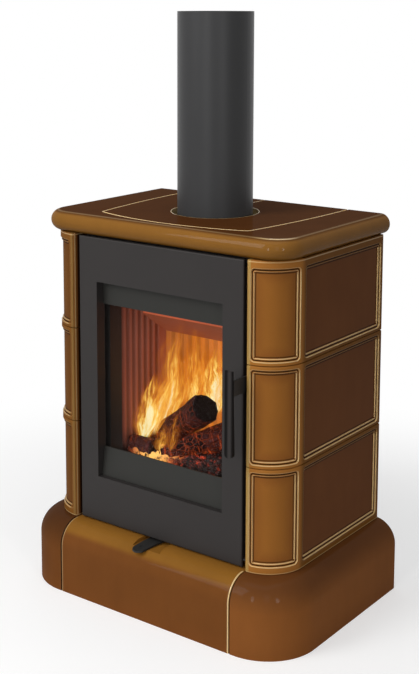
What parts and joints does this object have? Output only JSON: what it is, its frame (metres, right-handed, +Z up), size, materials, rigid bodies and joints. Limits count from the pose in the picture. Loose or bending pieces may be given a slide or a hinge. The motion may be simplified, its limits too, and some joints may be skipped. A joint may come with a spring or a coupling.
{
  "type": "wood stove",
  "caption": "Small tiled wood stove: steel firebox with a glazed door, clad in glazed brown ceramic tiles on a bullnosed ceramic base, with a ceramic top plate and a top flue",
  "frame": {"origin": "middle of the base's bounding box on the floor, under the middle of the part", "axes": "+Z up along the flue, +Y to the rear, the door faces -Y, +X to the right of a viewer who faces the door"},
  "size_m": [0.644, 0.417, 1.16],
  "materials": {
    "glazed_tile": "glossy brown glaze, lighter on the edges",
    "dark_paint": "satin dark grey heat-proof paint",
    "firebox_steel": "matt black",
    "zinc_sheet": "bare zinc-coated sheet",
    "fastener_steel": "plain steel",
    "window_glass": "clear heat-proof glass",
    "rope_seal": "woven glass-fibre rope",
    "firebrick": "matt fire clay",
    "grate_iron": "rough cast",
    "log_wood": "split wood, charred"
  },
  "bodies": {
    "stove": {"air_box": "firebox_steel", "ash_pan": "firebox_steel", "baffle_ledges": "firebox_steel", "baffle_lower": "firebrick", "baffle_upper": "firebox_steel", "base_tile_front": "glazed_tile", "base_tile_left": "glazed_tile", "base_tile_right": "glazed_tile", "collar_bolts": "fastener_steel", "fire_logs": "log_wood", "firebox_shell": "firebox_steel", "flue_collar": "dark_paint", "flue_pipe": "dark_paint", "foot_nuts": "fastener_steel", "front_frame": "dark_paint", "grate": "grate_iron", "hearth_bricks": "firebrick", "hearth_plate": "firebox_steel", "hinge_plates": "dark_paint", "hinge_washer": "fastener_steel", "latch_keeper": "dark_paint", "levelling_feet": "fastener_steel", "lever_bolt": "fastener_steel", "lining_back": "firebrick", "lining_left": "firebrick", "lining_right": "firebrick", "plinth_frame": "dark_paint", "rear_shield": "zinc_sheet", "shield_screws": "fastener_steel", "shield_spacers": "zinc_sheet", "shutter_rails": "firebox_steel", "tile_clips": "zinc_sheet", "tile_left_lower": "glazed_tile", "tile_left_middle": "glazed_tile", "tile_left_upper": "glazed_tile", "tile_right_lower": "glazed_tile", "tile_right_middle": "glazed_tile", "tile_right_upper": "glazed_tile", "tile_seals": "rope_seal", "top_border": "glazed_tile", "top_carrier": "dark_paint", "top_inset": "glazed_tile"},
    "door": {"door_leaf": "dark_paint", "door_head": "dark_paint", "door_sill": "dark_paint", "door_glass": "window_glass", "glass_gasket": "rope_seal", "glass_clips": "zinc_sheet", "glass_screws": "fastener_steel", "door_gasket": "rope_seal", "hinge_pins": "fastener_steel", "handle_pivot": "fastener_steel"},
    "handle": {"handle_bar": "dark_paint", "handle_arm": "dark_paint"},
    "lever": {"air_lever": "dark_paint"},
    "shutter": {"air_shutter": "zinc_sheet"}
  },
  "joints": [
    {"name": "door_swing", "type": "hinge", "parent": "stove", "child": "door", "pos_m": [-0.19, -0.1435, 0.4335], "axis": [0, 0, 1], "range_deg": [-95, 0]},
    {"name": "handle_turn", "type": "hinge", "parent": "door", "child": "handle", "pos_m": [0.201, -0.1415, 0.495], "axis": [1, 0, 0], "range_deg": [-25, 0]},
    {"name": "air_lever_turn", "type": "hinge", "parent": "stove", "child": "lever", "pos_m": [-0.005, -0.0955, 0.138], "axis": [0, 0, 1], "range_deg": [-5, 17]},
    {"name": "air_shutter_slide", "type": "slide", "parent": "stove", "child": "shutter", "axis": [1, 0, 0], "range_m": [-0.018, 0.0054]}
  ],
  "couplings": [
    {"joint": "air_shutter_slide", "follows": "air_lever_turn", "m_per_rad": -0.06}
  ]
}
